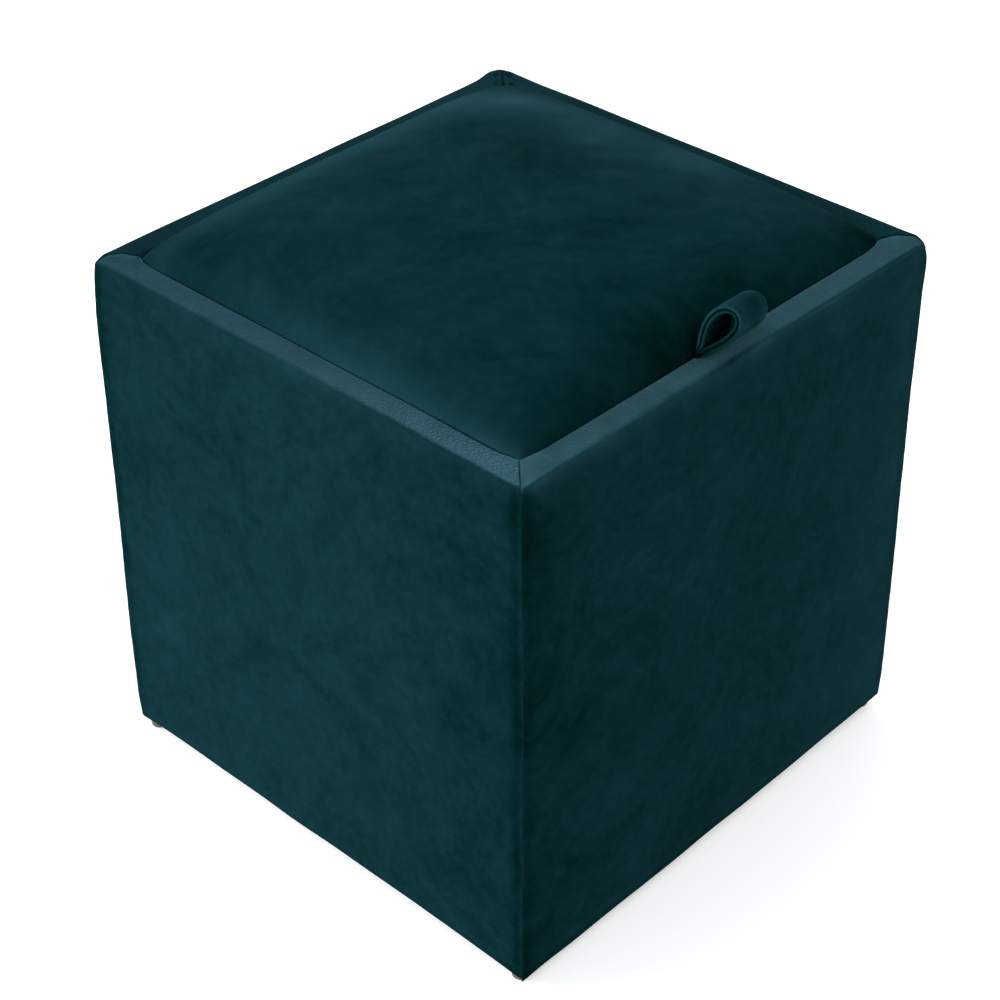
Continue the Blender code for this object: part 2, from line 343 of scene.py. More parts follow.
def streaked(across, up, angle, seed):
    """Places on the cloth for its brushed streaks, which lean over by the angle in degrees."""
    lean = math.radians(angle)
    along_streak = across * math.sin(lean) + up * math.cos(lean)
    beside_streak = across * math.cos(lean) - up * math.sin(lean)
    third = np.full_like(along_streak, seed)
    return np.stack([beside_streak, along_streak * STREAK, third], axis=-1)


def from_line(points, start, end):
    """Distance of each point from the straight piece between two places."""
    way = end - start
    share = np.clip((points - start) @ way / (way @ way), 0, 1)
    return np.linalg.norm(points - start - share[..., None] * way, axis=-1)


def grid_normals(points):
    """Normals of a grid that is closed from its last row to its first."""
    down = np.roll(points, -1, axis=0) - np.roll(points, 1, axis=0)
    across = np.gradient(points, axis=1)
    return unit(np.cross(across, down))


def wall_shape(wall):
    """The cover of one wall: rows of points round its section, and where each of them lies."""
    outward = np.array(wall.outward, float)
    along = np.array([-outward[1], outward[0]])
    half_out = float(abs(outward) @ RIM)
    half_along = float(abs(along) @ RIM)
    section = wall_section()
    columns = wall_columns(2 * half_along)
    depth, height = section[:, :1], section[:, 1:]
    side = np.where(columns < 0.5, -1.0, 1.0)[None, :]
    start, end = (CORNERS[tuple(int(s) for s in outward + way * along)] for way in (-1, 1))

    def nearer(name):
        """A value of the corner that each column is nearer to."""
        return np.where(side < 0, getattr(start, name), getattr(end, name))

    level = (height - (RIM_Z + HEM_Z) / 2) / ((RIM_Z - HEM_Z) / 2)
    share = 1 - depth / THICKNESS
    offset = depth - HEM_FLARE * (1 - level) / 2 * share
    radius = SEAM_RADIUS + (nearer("inside") - SEAM_RADIUS) * ramp(depth, 0, THICKNESS)
    radius = radius + share * nearer("rim_round") * ramp(height, RIM_Z - ROUNDED_HEIGHT, RIM_Z)
    radius = radius + share * nearer("hem_round") * ramp(height, HEM_Z + ROUNDED_HEIGHT, HEM_Z)
    bend = radius * math.pi / 4  # length of half a corner's arc
    run = half_along - offset - radius
    near_end = 2 * np.minimum(columns, 1 - columns)[None, :] * (run + bend)  # from the nearer seam
    turn = np.clip(math.pi / 4 - near_end / radius, 0, None)
    beyond = np.where(turn > 0, radius * np.sin(turn), bend - near_end)
    at = side * (run + beyond + SEAM_PRESS)
    out = half_out - offset - radius * (1 - np.cos(turn))

    from_middle = np.clip(abs(at) / half_along, 0, 1)
    out = out + share * CROWN * ((1 - from_middle**CROWN_POWER) * (1 - abs(level) ** CROWN_POWER))
    near_hem = ramp(height, HEM_Z + 3 * HEM_BAND, HEM_Z)
    out = out + share * wall.bulge * (1 - from_middle**2) * near_hem
    out = out + share * nearer("stand") * bell(near_end, STAND_REACH)
    plan = CENTRE + out[..., None] * outward + at[..., None] * along
    places = at / half_along
    hang = wall.spread("sag", places) * MM * ramp(height, HEM_Z + HEM_BAND, HEM_Z)
    lift = wall.rise * (1 - from_middle**6) * ramp(height, RIM_Z - HEM_BAND, RIM_Z)
    points = np.concatenate([plan, (height - hang + lift)[..., None]], axis=-1)
    depths = np.broadcast_to(depth, at.shape)
    lively = 1 + 0.35 * soft_noise(points, 55 * MM, 3)
    return SimpleNamespace(
        points=shape_cloth(points, near_end, depths, nearer("crease"), lively),
        depths=depths,
        at=at,
        places=places,
        side=side,
        near_end=near_end,
        lively=lively,
        over=past_edge(section),
        ahead=unit(np.roll(section, -1, axis=0) - np.roll(section, 1, axis=0)),
        nearer=nearer,
    )


def shape_cloth(points, near_end, depth, crease, lively):
    """Dips beside the upright seams, puffs and creases at the mitres, waves in the hem."""
    normals = grid_normals(points)
    height = points[..., 2]
    on_face = ramp(depth, FACE_DEPTH, 0) * ramp(height, HEM_Z - 1 * MM, HEM_Z + 20 * MM)
    on_face *= ramp(height, RIM_Z, RIM_Z - 10 * MM)
    on_top = ramp(height, RIM_Z - 9 * MM, RIM_Z)

    push = -VALLEY_DEPTH * lively * bell(near_end - VALLEY_PLACE, VALLEY_REACH) * on_face
    push += RIDGE * bell(near_end, RIDGE_REACH) * on_face
    push -= crease * bell(near_end, CREASE_REACH) * on_top
    push += PUFF * bell(near_end, PUFF_REACH) * on_top * ramp(depth, 4 * MM, 14 * MM)
    push += RIM_SWELL * np.sin(np.clip(depth / THICKNESS, 0, 1) * math.pi) * on_top
    push += UNDULATION * soft_noise(points, 85 * MM, 5) * (on_face + 0.6 * on_top)
    gathers = soft_noise(points, 9 * MM, 7, stretch=(1, 1, 0.4))
    push += GATHER * gathers * bell(near_end, 13 * MM) * on_top
    puckers = soft_noise(points, 14 * MM, 9, stretch=(0.4, 0.4, 1))
    push += PUCKER * puckers * bell(near_end, 12 * MM) * on_face
    points = points + normals * push[..., None]

    near_hem = ramp(height, HEM_Z + HEM_BAND, HEM_Z)
    points[..., 2] += HEM_WAVE * soft_noise(points, 75 * MM, 11) * near_hem
    for signs, corner in CORNERS.items():
        away = np.linalg.norm(points[..., :2] - on_mitre(signs, 0, 0)[:2], axis=-1)
        points[..., 2] -= corner.droop * bell(away, DROOP_REACH) * near_hem
        for inward, above, way, reach in corner.pushes:
            place = on_mitre(signs, np.array(inward) * MM, RIM_Z + above * MM)
            away = np.linalg.norm(points - place, axis=-1)
            points += np.array(way) * MM * bell(away, reach * MM)[..., None]
    return points


def wall_nap(wall, cloth):
    """Which way the brushed pile leans: inwards on the rim, and down the inner face."""
    inwards = np.array([*-np.array(wall.outward, float), 0.0])
    tilt = wall.spread("tilt", cloth.places)
    lean = wall.spread("nap_lean", cloth.places) * (1 + tilt * (1 - 2 * cloth.depths / THICKNESS))
    pushed_over = np.where(cloth.side < 0, *wall.mitre_lean)
    lean = lean * (1 + pushed_over * bell(cloth.near_end, MITRE_REACH))
    from_loop = np.linalg.norm(cloth.points - LOOP_REST, axis=-1)
    lean = lean * (1 - LOOP_PRESS * bell(from_loop, LOOP_PRESS_REACH))
    on_rim = lean[..., None] * inwards + RIM_EVEN * (UP - grid_normals(cloth.points))
    upright = np.minimum(MOST_UPRIGHT, CREASE_UPRIGHT * cloth.nearer("crease") / MM)
    upright = upright * bell(cloth.near_end, CREASE_NAP)
    level = ramp(cloth.ahead[:, :1], 0.15, 0.85)
    on_rim = on_rim * (level * (1 - upright))[..., None]
    rim_width = RIM_OUTER_RADIUS * math.pi / 2 + THICKNESS - RIM_OUTER_RADIUS
    past_rim = ramp(cloth.over, rim_width - RIM_INNER_RADIUS, rim_width)[:, None, None]
    onwards = cloth.ahead[:, :1] * inwards + cloth.ahead[:, 1:] * UP
    return on_rim * (1 - past_rim) + INSIDE_NAP * onwards[:, None, :] * past_rim


def wall_wear_and_light(wall, cloth, past_brush):
    """How much lighter or darker each point is painted.

    A tone for the face, a painted highlight on each seam's worn ridge and above the hem, painted
    sheen along the rim's outer edge and on the face below it, and painted shade in the dips,
    creases and gathers, at the hem's edge, beside one corner and under the pull loop, with
    painted light beside another corner. The inner faces are lighter near the rim.
    """
    near_end, z = cloth.near_end, cloth.points[..., 2]
    edge, face_sheen, tone = (wall.spread(name, cloth.places) for name in ("edge", "face_sheen", "tone"))
    outside = ramp(cloth.depths, FACE_DEPTH, 0)
    on_face = outside * ramp(z, RIM_Z - 1 * MM, RIM_Z - 7 * MM)
    # A tone for the face, and a painted highlight on each upright seam's worn ridge
    wear_and_light = tone + SEAM_WORN_AND_LIT * bell(near_end, SEAM_WORN_AND_LIT_REACH) * on_face
    # Painted shade in the dips beside the upright seams
    in_dip = outside * ramp(z, RIM_Z + 2 * MM, RIM_Z - 4 * MM)
    deeper = 1 + 0.5 * bell(z - RIM_Z + VALLEY_SHADE_DEEPEST, 12 * MM)
    darker = VALLEY_SHADE * wall.valley * cloth.lively * deeper
    wear_and_light -= darker * bell(near_end - VALLEY_PLACE, VALLEY_SHADE_REACH) * in_dip
    # Painted shade beside one corner, painted light beside another
    wear_and_light -= cloth.nearer("shade") * bell(near_end, SHADE_REACH) * on_face
    # A painted sheen line above the hem, painted shade at its edge
    wear_and_light += HEM_SHEEN * bell(z - HEM_Z - HEM_SHEEN_PLACE, HEM_SHEEN_REACH) * on_face
    wear_and_light -= HEM_SHADE * bell(z - HEM_Z, HEM_SHADE_REACH) * on_face

    # Painted sheen along the brushed pile's edge and on the face below it
    face_sheen = face_sheen * (1 + 0.5 * soft_noise(cloth.points, 45 * MM, 13))
    face_sheen = face_sheen * (1 - GLOW_DAMPED * bell(near_end, 13 * MM))
    wear_and_light += edge * bell(past_brush - EDGE_PLACE, EDGE_BREADTH)
    fading = np.exp(np.minimum(past_brush, 0) / GLOW_REACH)
    wear_and_light += face_sheen * fading * (1 - ramp(past_brush, 0, GLOW_END))
    wear_and_light -= SHADOW_DARK * bell(from_line(cloth.points, *SHADOW), SHADOW_REACH)

    going_down = ramp(-cloth.ahead[:, 1:], 0.3, 1)
    wear_and_light += INSIDE_LIFT * (going_down * ramp(z, RIM_Z - 70 * MM, RIM_Z - 10 * MM))
    on_rim = ramp(z, RIM_Z - 7 * MM, RIM_Z - 1 * MM) * ramp(cloth.depths, 2 * MM, 6 * MM)
    # Painted shade in the mitre's crease and in the gathers beside it
    folds = np.clip(soft_noise(cloth.points, 10 * MM, 17), 0, 1) * bell(near_end, 15 * MM)
    gathers = cloth.nearer("pleats") * (bell(near_end, 1.3 * MM) + folds)
    wear_and_light -= (MITRE_SHADE * bell(near_end, MITRE_SHADE_REACH) + gathers) * on_rim
    return wear_and_light


def wall_pile(wall, cloth):
    """How the pile lies on one wall's cover, as values for the points of its mesh."""
    over = np.broadcast_to(cloth.over[:, None], cloth.at.shape)
    past_brush = over - wall.spread("brush", cloth.places) * MM
    from_front_left = np.linalg.norm(cloth.points - on_mitre((-1, -1), 0, RIM_Z), axis=-1)
    return {
        "nap": wall_nap(wall, cloth),
        "brushed": past_brush / wall.spread("softness", cloth.places),
        "wear_and_light": wall_wear_and_light(wall, cloth, past_brush),
        "tufts": TUFTS_EVEN + (1 - TUFTS_EVEN) * bell(from_front_left, TUFTS_REACH),
        "cloth": streaked(cloth.at, over, wall.streak_angle, wall.seed),
    }


def mesh_of(name, vertices, faces, smooth_below=50):
    """A mesh whose edges look smooth where they turn by less than so many degrees."""
    data = bpy.data.meshes.new(name)
    data.from_pydata(vertices, [], faces)
    data.validate()
    data.shade_smooth()
    data.set_sharp_from_angle(angle=math.radians(smooth_below))
    return data


def add_piece(name, data, material):
    obj = bpy.data.objects.new(name, data)
    bpy.context.scene.collection.objects.link(obj)
    data.materials.append(material)
    return obj


def grid_faces(rows, columns, wrap_rows=False, wrap_columns=False):
    """Quads of a grid whose points run along each row in turn."""
    faces = []
    for row in range(rows if wrap_rows else rows - 1):
        below = (row + 1) % rows
        for column in range(columns if wrap_columns else columns - 1):
            right = (column + 1) % columns
            corners = ((row, column), (row, right), (below, right), (below, column))
            faces.append(tuple(r * columns + c for r, c in corners))
    return faces


def set_data(mesh, values):
    """Stores each named array on the mesh's points, as numbers or as vectors."""
    for name, array in values.items():
        is_vector = array.shape[-1] == 3 and array.size == 3 * len(mesh.vertices)
        attribute = mesh.attributes.new(name, "FLOAT_VECTOR" if is_vector else "FLOAT", "POINT")
        key = "vector" if is_vector else "value"
        attribute.data.foreach_set(key, np.asarray(array, np.float32).ravel())


def build_wall(name, wall, material):
    cloth = wall_shape(wall)
    rows, columns = cloth.at.shape
    faces = grid_faces(rows, columns, wrap_rows=True)
    start = tuple(row * columns for row in range(rows))
    end = tuple(row * columns + columns - 1 for row in reversed(range(rows)))
    mesh = mesh_of(name, cloth.points.reshape(-1, 3), [*faces, start, end])
    set_data(mesh, wall_pile(wall, cloth))
    piece = add_piece(name, mesh, material)
    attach(piece, "box")
    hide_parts(wall.node)


# ---- Lid ----
LID_HALF = np.array([LID[1].x, (LID[1].y - LID[0].y) / 2])
LID_FOOT = LID[0].z
LID_EDGE_DROP = 1 * MM  # how far below the rim the rounded edge starts
LID_EDGE_Z = RIM_Z - LID_EDGE_DROP
LID_CROWN = LID[1].z - RIM_Z + LID_EDGE_DROP
LID_CROWN_POWER = 4.3
LID_EDGE_POWER = 0.42
LID_DRAW_IN = 2.5 * MM
LID_SWELL = 2 * MM  # how far the cover swells past the solid at the rim's height
LID_CORNER_POWER = 56  # roundness of the lid's corners in plan, as a superellipse
LID_SHARPER = 40  # how much higher that power is at the front left corner
LID_CELLS = 160
LID_LEVELS = 12
LID_UNDULATION = 0.45 * MM
LID_RIPPLE = 0.2 * MM
LID_NAP = np.array([-0.10, -0.02, 0.0])
LID_EVEN = 0.6  # how far the far sides' pile hides their curve
# Where the filling has settled: (x, y, rise, reach), in mm.
LID_SETTLING = [(-120, 168, -1.6, 50), (120, 168, 1.4, 50)]
# Where the pile is brushed lighter or darker, partly as painted light and shade: (x, y, lightness,
# reach), in mm.
LID_BRUSHING_AND_SHADE = [
    (40, 182, 0.4, 95),
    (-170, 160, -1.0, 40),
    (168, 160, -2.2, 32),
    (138, 122, 2.7, 27),
    (110, 150, 1.0, 24),
    (141, 42, 1.7, 32),
    (158, 85, 0.9, 25),
    (162, -38, 1.9, 34),
    (68, 48, -0.8, 42),
    (0, 125, -0.5, 30),
    (20, -105, -0.3, 80),
    (50, -168, -0.5, 35),
    (185, -178, -1.6, 17),
]
LID_TONE = -0.3
# painted shade along the lid's front
LID_FRONT_SHADE, LID_FRONT_REACH = 0.4, 22 * MM
LID_LOOP_SHADE, LID_LOOP_REACH = 0.5, 34 * MM  # painted shade left of the loop
LID_LOOP_OFFSET = 18 * MM
LID_LOOP_STRETCH = 1.6
# painted sheen towards the lid's right and back sides
LID_RIGHT_SHEEN, LID_RIGHT_REACH = 0.4, 30 * MM
LID_BACK_SHEEN, LID_BACK_REACH = 1.6, 16 * MM
LID_BACK_PLACE = 20 * MM


def dome(share):
    return (1 - np.clip(abs(share), 0, 1) ** LID_CROWN_POWER) ** LID_EDGE_POWER


def corner_power(u, v):
    return LID_CORNER_POWER + LID_SHARPER * ramp(-u, 0.6, 0.95) * ramp(-v, 0.6, 0.95)


def superellipse(u, v):
    power = corner_power(u, v)
    return (abs(u) ** power + abs(v) ** power) ** (1 / power)


def lid_height(u, v):
    """Rise of the filling over the lid's edge, at shares of the half sizes."""
    rounded = np.clip(1 - superellipse(u, v) ** corner_power(u, v), 0, 1) ** 0.5
    return LID_CROWN * dome(u) * dome(v) * rounded


def strap_dent(x, y):
    """How far the strap presses the lid's front in where it is sewn on."""
    beside = ramp(abs(x - STRAP_X), STRAP_HALF + 2 * MM, STRAP_HALF + 16 * MM)
    return LID_SWELL * (1 - beside) * ramp(BOX_Y - y, LID_HALF[1] - 10 * MM, LID_HALF[1])


def lid_top():
    """The lid's top as a grid of points, whose rows run from front to back."""
    shares = np.sin(np.linspace(-1, 1, LID_CELLS + 1) * math.pi / 2)
    u, v = np.meshgrid(shares, shares, indexing="ij")
    # Each square ring of the grid is drawn in to a rounded one.
    shrink = np.maximum(abs(u), abs(v)) / np.maximum(superellipse(u, v), 1e-9)
    u, v = u * shrink, v * shrink
    half = LID_HALF + LID_SWELL
    top = np.stack([u * half[0], v * half[1] + BOX_Y, LID_EDGE_Z + lid_height(u, v)], axis=-1)
    top[..., 1] += strap_dent(top[..., 0], top[..., 1])
    fullness = dome(u) * dome(v)
    top[..., 2] += LID_UNDULATION * soft_noise(top, 80 * MM, 21) * fullness
    top[..., 2] += LID_RIPPLE * soft_noise(top, 30 * MM, 22) * fullness
    for place_x, place_y, rise, reach in LID_SETTLING:
        away = np.hypot(top[..., 0] - place_x * MM, top[..., 1] - place_y * MM - BOX_Y)
        top[..., 2] += rise * MM * bell(away, reach * MM) * fullness
    return top


def grid_ring(count):
    """The places of a square grid's outer points, in order round it."""
    index = np.arange(count * count).reshape(count, count)
    return np.concatenate([index[0, :-1], index[:-1, -1], index[-1, :0:-1], index[:0:-1, 0]])


def lid_shell(top, ring):
    """Vertices and faces of the whole lid: its top, its drawn-in sides and its underside."""
    rows, columns = top.shape[:2]
    vertices = [top.reshape(-1, 3)]
    faces = [face[::-1] for face in grid_faces(rows, columns)]
    from_middle = vertices[0][ring, :2] - CENTRE
    previous = ring
    start = rows * columns
    for step in range(1, LID_LEVELS + 1):
        level = 1 - step / LID_LEVELS
        grows = LID_SWELL * (ramp(level, 0.55, 1) - 1) - LID_DRAW_IN * (1 - level) ** 2
        plan = CENTRE + from_middle * (1 + grows / (LID_HALF + LID_SWELL))
        height = np.full((len(ring), 1), LID_FOOT + (LID_EDGE_Z - LID_FOOT) * level)
        vertices.append(np.concatenate([plan, height], axis=1))
        current = np.arange(start, start + len(ring))
        corners = [previous, np.roll(previous, -1), np.roll(current, -1), current]
        faces += np.stack(corners, axis=1).tolist()
        previous = current
        start += len(ring)
    faces.append(previous.tolist())
    return np.concatenate(vertices), faces


def down_the_sides(values, ring):
    """Values of the top's grid in one list, with those of its edge repeated for the sides."""
    flat = values.reshape(-1, *values.shape[2:])
    return np.concatenate([flat, *[flat[ring]] * LID_LEVELS])


def lid_wear_and_light(vertices, top, ring):
    """How much lighter or darker the lid is painted: brushed patches, painted light and sheen, and
    painted shade.
    """
    x, y = vertices[:, 0], vertices[:, 1] - BOX_Y
    from_front = y + LID_HALF[1]
    to_right, to_back = LID_HALF[0] - x, LID_HALF[1] - y
    from_loop = np.hypot((x - STRAP_X + LID_LOOP_OFFSET) / LID_LOOP_STRETCH, from_front)
    # A tone, with painted shade along the front
    wear_and_light = LID_TONE - LID_FRONT_SHADE * bell(from_front, LID_FRONT_REACH)
    # Painted shade left of the loop
    wear_and_light = wear_and_light - LID_LOOP_SHADE * bell(from_loop, LID_LOOP_REACH)
    # Painted sheen towards the right and back sides
    at_right = LID_RIGHT_SHEEN * bell(to_right, LID_RIGHT_REACH)
    wear_and_light += at_right + LID_BACK_SHEEN * bell(to_back - LID_BACK_PLACE, LID_BACK_REACH)
    # Brushed patches, partly painted light and shade
    for place_x, place_y, lightness, reach in LID_BRUSHING_AND_SHADE:
        wear_and_light += lightness * bell(np.hypot(x - place_x * MM, y - place_y * MM), reach * MM)
    # The rounded left edge has painted light, more so towards the front. A little painted light
    # along the front keeps the gap to the rim from looking black.
    over_left = down_the_sides(travelled(top, 0), ring)
    over_front = down_the_sides(travelled(top, 1), ring)
    lit_strip = 0.8 + 2.6 * ramp(y, 100 * MM, -40 * MM) + 0.8 * ramp(y, -90 * MM, -160 * MM)
    reach = 10 * MM - 4 * MM * ramp(y, 0, -160 * MM)
    cloudy = 1 + 0.25 * soft_noise(vertices, 40 * MM, 23)
    wear_and_light += lit_strip * cloudy * np.exp(-over_left / reach) + 0.5 * np.exp(-over_front / (2.5 * MM))
    return wear_and_light


def lid_nap(vertices, top, ring):
    """The lid's pile leans one way, but on the far sides it stands up in spite of the curve."""
    curve = UP - unit(np.cross(np.gradient(top, axis=0), np.gradient(top, axis=1)))
    to_far_side = np.minimum(LID_HALF[0] - vertices[:, 0], LID_HALF[1] - (vertices[:, 1] - BOX_Y))
    far = ramp(to_far_side, 60 * MM, 15 * MM)
    return LID_EVEN * down_the_sides(curve, ring) * far[:, None] + LID_NAP


def build_lid(material):
    top = lid_top()
    ring = grid_ring(LID_CELLS + 1)
    vertices, faces = lid_shell(top, ring)
    mesh = mesh_of("lid_cover", vertices, faces, smooth_below=60)
    values = {
        "nap": lid_nap(vertices, top, ring),
        "brushed": np.ones(len(vertices)),
        "wear_and_light": lid_wear_and_light(vertices, top, ring),
        "tufts": np.full(len(vertices), TUFTS_EVEN),
        "cloth": streaked(vertices[:, 0], vertices[:, 1] - BOX_Y, 135, 3.1),
    }
    set_data(mesh, values)
    piece = add_piece("lid_cover", mesh, material)
    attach(piece, "lid")
    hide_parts("lid_cushion")


# ---- Pull loop: a strap of two layers, sewn to the lid's front side ----
STRAP_X = (LOOP[0].x + LOOP[1].x) / 2 + 0.4 * MM
STRAP_HALF = (LOOP[1].x - LOOP[0].x) / 2 + 0.4 * MM
STRAP_THICKNESS = 5.7 * MM  # both layers, where they are free
TAIL_THICKNESS = 1.1 * MM
STRAP_LENGTH = 58.9 * MM  # from where it leaves the gap to its tip
STRAP_BREADTH = 12.2 * MM  # half the drop's breadth
STRAP_BEND = -2 * MM  # how far the drop's middle bows from a straight line
STRAP_LEAN = math.radians(33.1)
STRAP_TAIL = RIM_Z - LOOP[0].z
STRAP_WALL_GAP = 0.5 * MM
STRAP_OVERHANG = 3.85 * MM  # how far the drop leans on the rim's rounded edge
STRAP_SINK = 0.9 * MM  # how far below the rim the drop starts
STEM = 2.4 * MM  # both tails together
STRAP_POINTS = 96
TAIL_POINTS = 9
TIP_TURN = 1.0  # radians each side of the tip where the strap keeps its full thickness
DROP_START = 2.6 * MM  # the drop's own outline takes over from the tails here
DROP_WIDEST = 0.77  # largest value of sin(t) * sin(t / 2)
STRAP_NAP = np.array([-0.12, -0.12, 0.12])  # the strap's pile is stroked to its near end,
STRAP_INNER_NAP = np.array([-1.2, -0.3, 0.3])  # more so inside the loop
STITCH_INSET = 3.2 * MM
STITCH_PITCH = 3.4 * MM
STITCH_LENGTH = 2.5 * MM
STITCH_SIDES, STITCH_RINGS = 6, 5
STITCHED_FROM = 3.6 * MM  # the stitches start where the strap is this thick
STITCH_RISE = 0.05 * MM  # how far a stitch stands above its dip in the middle,
STITCH_PULL = 0.2 * MM  # and how much lower its ends are pulled
THREAD_RADIUS = 0.2 * MM
STITCH_DIP = 0.86
# The strap cut across, from the middle of its outer face to its edge's groove:
# (mm in from the edge, share of half the thickness).
STRAP_HALF_SECTION = [
    *((13.75, 1.03), (9, 1.02), (6, 1.0), (4.1, 1.0)),  # flat
    *((3.55, 0.96), (3.2, STITCH_DIP), (2.85, 0.96)),  # dipped where it is stitched
    *((2.3, 1.0), (1.1, 0.99), (0.45, 0.92), (0.08, 0.75), (0.0, 0.52)),  # round the edge
    *((0.14, 0.28), (0.5, 0.12), (1.2, 0.0)),  # into the groove between the layers
]
# How light or dark its pile is painted, with wear and with painted light and shade
# worn edges with a painted highlight
STRAP_EDGE_WORN_AND_LIT = 2.0
# painted shade in the groove between the layers
STRAP_GROOVE_SHADE = 2.6
STITCH_SHADE, STITCH_SWELL_HIGHLIGHT = 1.0, 0.8  # painted shade in the dip, between painted highlights on two swells
# painted shade inside the loop, at its root and where it turns under
STRAP_INSIDE_SHADE = 1.6
STRAP_ROOT_SHADE = 1.8
STRAP_UNDER_SHADE = 1.4
STRAP_MIDDLE_DARK = 0.7


def strap_path():
    """The strap's middle line in (out, up) from its tail on the wall's side round to the other tail.

    Also its thickness there and which way its outer face looks.
    """
    angles = np.linspace(0, 2 * math.pi, STRAP_POINTS + 1)[1:-1]
    reach = STRAP_LENGTH * (1 - np.cos(angles)) / 2
    across = STRAP_BREADTH / DROP_WIDEST * np.sin(angles) * np.sin(angles / 2)
    bowed = across + STRAP_BEND * np.sin(math.pi * reach / STRAP_LENGTH)
    outline = np.stack([reach, bowed], axis=1)
    ahead = np.gradient(outline, axis=0)
    normal = unit(np.stack([-ahead[:, 1], ahead[:, 0]], axis=1))
    thick = np.clip(abs(across) - 0.1 * MM, TAIL_THICKNESS, STRAP_THICKNESS)
    thick = np.where(abs(angles - math.pi) < TIP_TURN, STRAP_THICKNESS, thick)
    middle = outline - normal * thick[:, None] / 2
    keep = reach > DROP_START
    (along, beside), thick = middle[keep].T, thick[keep]
    out, up = math.sin(STRAP_LEAN), math.cos(STRAP_LEAN)
    leaned = np.stack([along * out + beside * up, along * up - beside * out], axis=1)
    stem = -STRAP_WALL_GAP - STEM / 2
    leaned += [stem + STRAP_OVERHANG, -STRAP_SINK]
    heights = np.linspace(-STRAP_TAIL, -3 * MM, TAIL_POINTS)
    tails = []
    for way in (1, -1):
        place = stem + way * STEM / 4
        tails.append(np.stack([np.full(TAIL_POINTS, place), heights[::way]], axis=1))
    path = np.concatenate([tails[0], leaned, tails[1]])
    ends = np.full(TAIL_POINTS, TAIL_THICKNESS)
    thick = np.concatenate([ends, thick, ends])
    ahead = np.gradient(path, axis=0)
    facing = unit(np.stack([ahead[:, 1], -ahead[:, 0]], axis=1))
    return path, thick, facing


def strap_point(across, out, up):
    """World places of points so far across the strap, out from the wall's inner face and up."""
    across, out, up = np.broadcast_arrays(across, out, up)
    return np.stack([STRAP_X + across, BOX_Y - INNER[1] - out, RIM_Z + up], axis=-1)


def strap_ring():
    """The strap's section as (across, share of half the thickness), all the way round."""
    half = [(STRAP_HALF - inset * MM, share) for inset, share in STRAP_HALF_SECTION]
    right = half + [(a, -b) for a, b in reversed(half[:-1])]
    left = [(-a, b) for a, b in reversed(right[1:-1])]
    return np.array(right + left)


def strap_wear_and_light(ring, facing, free, inner_face):
    """The strap's worn edges carry painted highlights.

    Painted shade lies in its groove, along its stitches between painted highlights, inside
    its loop, at its root and where it turns under, and its middle is darker.
    """
    from_edge = STRAP_HALF - abs(ring[:, 0])
    from_stitches = from_edge - STITCH_INSET
    height = abs(ring[:, 1])
    on_layer = ramp(height, 0.5, 0.8)
    # Painted highlights on the worn edges
    edges = STRAP_EDGE_WORN_AND_LIT * bell(from_edge, 0.6 * MM) * ramp(height, 0.3, 0.6)
    # Painted shade in the groove between the two layers
    groove = -STRAP_GROOVE_SHADE * bell(height, 0.3) * bell(from_edge - 1 * MM, 1.2 * MM)
    # Painted shade in the stitched dips, between painted highlights on their swells
    stitches = -STITCH_SHADE * bell(from_stitches, 0.4 * MM) * on_layer
    stitches += STITCH_SWELL_HIGHLIGHT * bell(from_stitches + 0.9 * MM, 0.4 * MM) * on_layer
    stitches += STITCH_SWELL_HIGHLIGHT * bell(from_stitches - 1.1 * MM, 0.6 * MM) * on_layer
    # Painted shade where the strap turns under, inside the loop and at its root
    underneath = ramp(-facing[:, 1], 0.2, 0.75)[:, None] * (1 - inner_face)
    middle = bell(ring[:, 0] - 2 * MM, 6 * MM) * (1 - inner_face)
    shade = -STRAP_INSIDE_SHADE * inner_face - STRAP_ROOT_SHADE * (1 - free)[:, None]
    shade = shade - STRAP_UNDER_SHADE * underneath - STRAP_MIDDLE_DARK * middle
    return edges + groove + stitches + shade


def build_strap(material, thread_material):
    path, thick, facing = strap_path()
    ring = strap_ring()
    along = travelled(path, 0)
    free = ramp(thick, 1.5 * MM, 4 * MM)
    waver = 0.3 * MM * soft_noise(np.stack([along, along * 0, along * 0], axis=1), 30 * MM, 31) * free
    across = ring[None, :, 0] + waver[:, None]
    proud = ring[None, :, 1] * thick[:, None] / 2
    out, up = path[:, :1] + facing[:, :1] * proud, path[:, 1:] + facing[:, 1:] * proud
    points = strap_point(across, out, up)
    rows, columns = points.shape[:2]
    faces = [face[::-1] for face in grid_faces(rows, columns, wrap_columns=True)]
    start = tuple(range(columns))
    end = tuple((rows - 1) * columns + column for column in reversed(range(columns)))
    mesh = mesh_of("pull_strap", points.reshape(-1, 3), [*faces, start, end], smooth_below=60)
    inner_face = ramp(-ring[:, 1], 0.3, 0.8)
    pressed = STRAP_NAP + inner_face[:, None] * STRAP_INNER_NAP
    values = {
        "nap": np.broadcast_to(pressed, (rows, columns, 3)),
        "brushed": np.ones((rows, columns)),
        "wear_and_light": strap_wear_and_light(ring, facing, free, inner_face),
        "tufts": np.full((rows, columns), TUFTS_EVEN),
        "cloth": streaked(across, np.broadcast_to(along[:, None], (rows, columns)), 20, 5.2),
    }
    set_data(mesh, values)
    strap = add_piece("pull_strap", mesh, material)
    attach(strap, "lid")
    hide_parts("pull_loop")
    thread = build_stitches(path, thick, facing, along, waver, thread_material)
    thread.parent = strap


